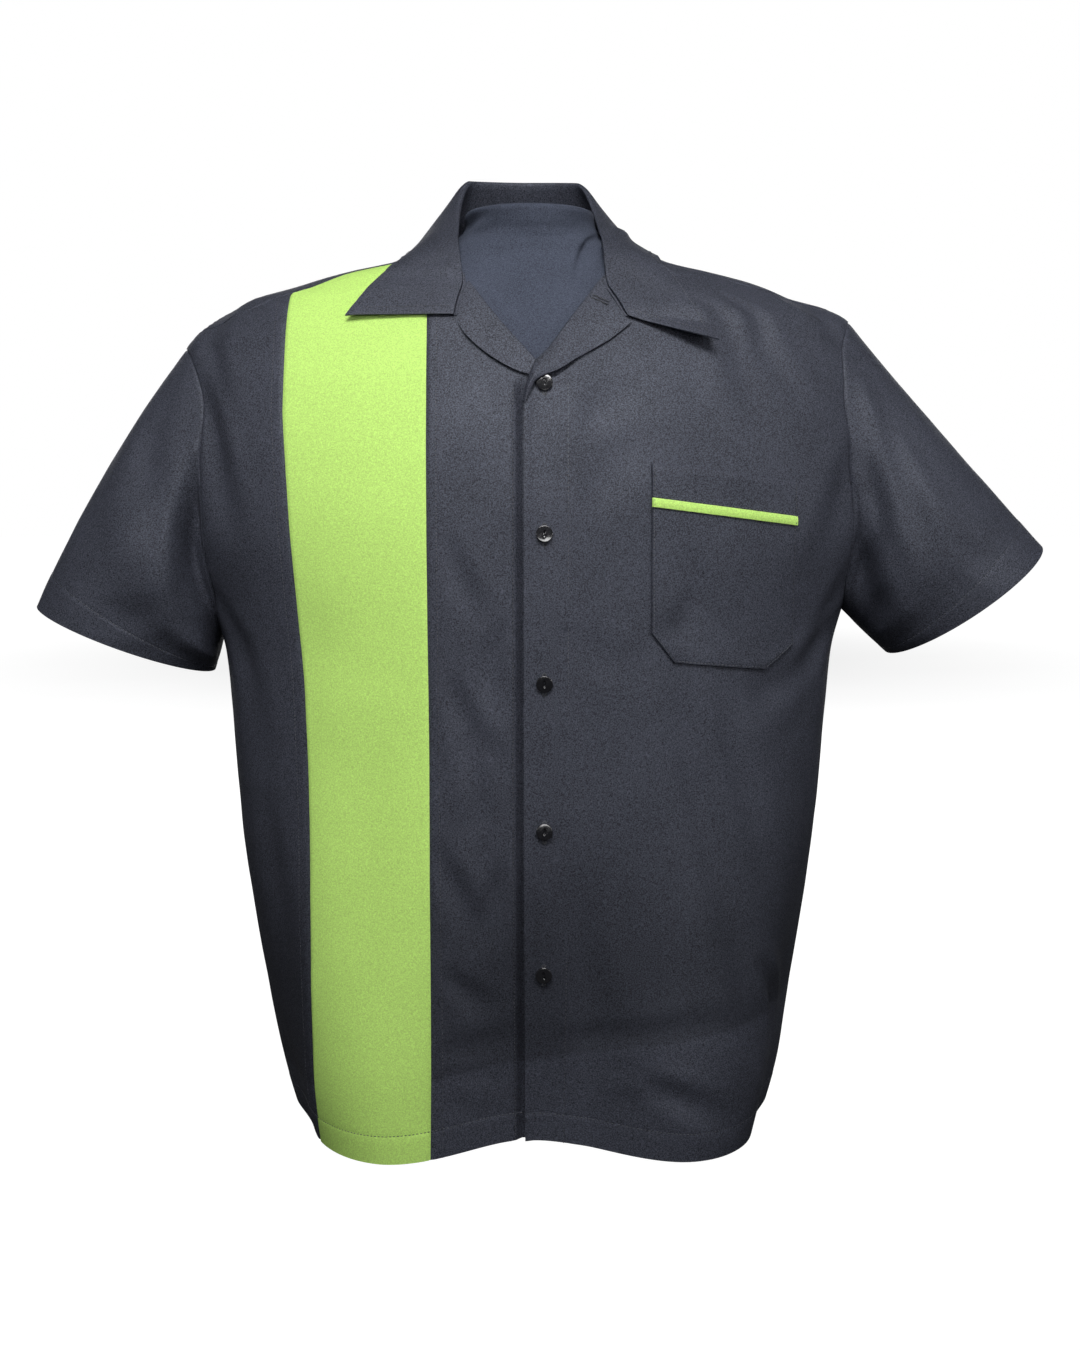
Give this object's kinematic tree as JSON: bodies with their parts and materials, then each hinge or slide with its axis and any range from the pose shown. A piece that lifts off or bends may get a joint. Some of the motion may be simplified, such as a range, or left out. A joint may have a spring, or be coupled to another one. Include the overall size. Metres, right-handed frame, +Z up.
{
  "type": "bowling shirt on dress form",
  "caption": "Short-sleeved camp-collar bowling shirt in black crepe with a lime-green panel down one front, buttoned on a limbless dress form.",
  "frame": {"origin": "centre of the dress form's flat base, on the surface it stands on", "axes": "+Z up, -Y to the front of the shirt, +X to the wearer's left"},
  "size_m": [0.748, 0.2833, 0.7072],
  "materials": {
    "black_cloth": "matte crepe, charcoal black",
    "green_cloth": "matte crepe, lime green",
    "form_cover": "matte cover of the dress form, dark slate blue",
    "buttons": "glossy black"
  },
  "bodies": {
    "root": {"back": "black_cloth", "front_right_side": "black_cloth", "front_right_insert": "green_cloth", "front_right_centre": "black_cloth", "front_left": "black_cloth", "sleeve_right": "black_cloth", "sleeve_left": "black_cloth", "collar": "black_cloth", "lapel_right": "black_cloth", "lapel_left": "black_cloth", "pocket": "black_cloth", "pocket_band": "black_cloth", "pocket_piping": "green_cloth", "button_1": "buttons", "button_2": "buttons", "button_3": "buttons", "button_4": "buttons", "button_5": "buttons", "dress_form": "form_cover"}
  },
  "joints": []
}
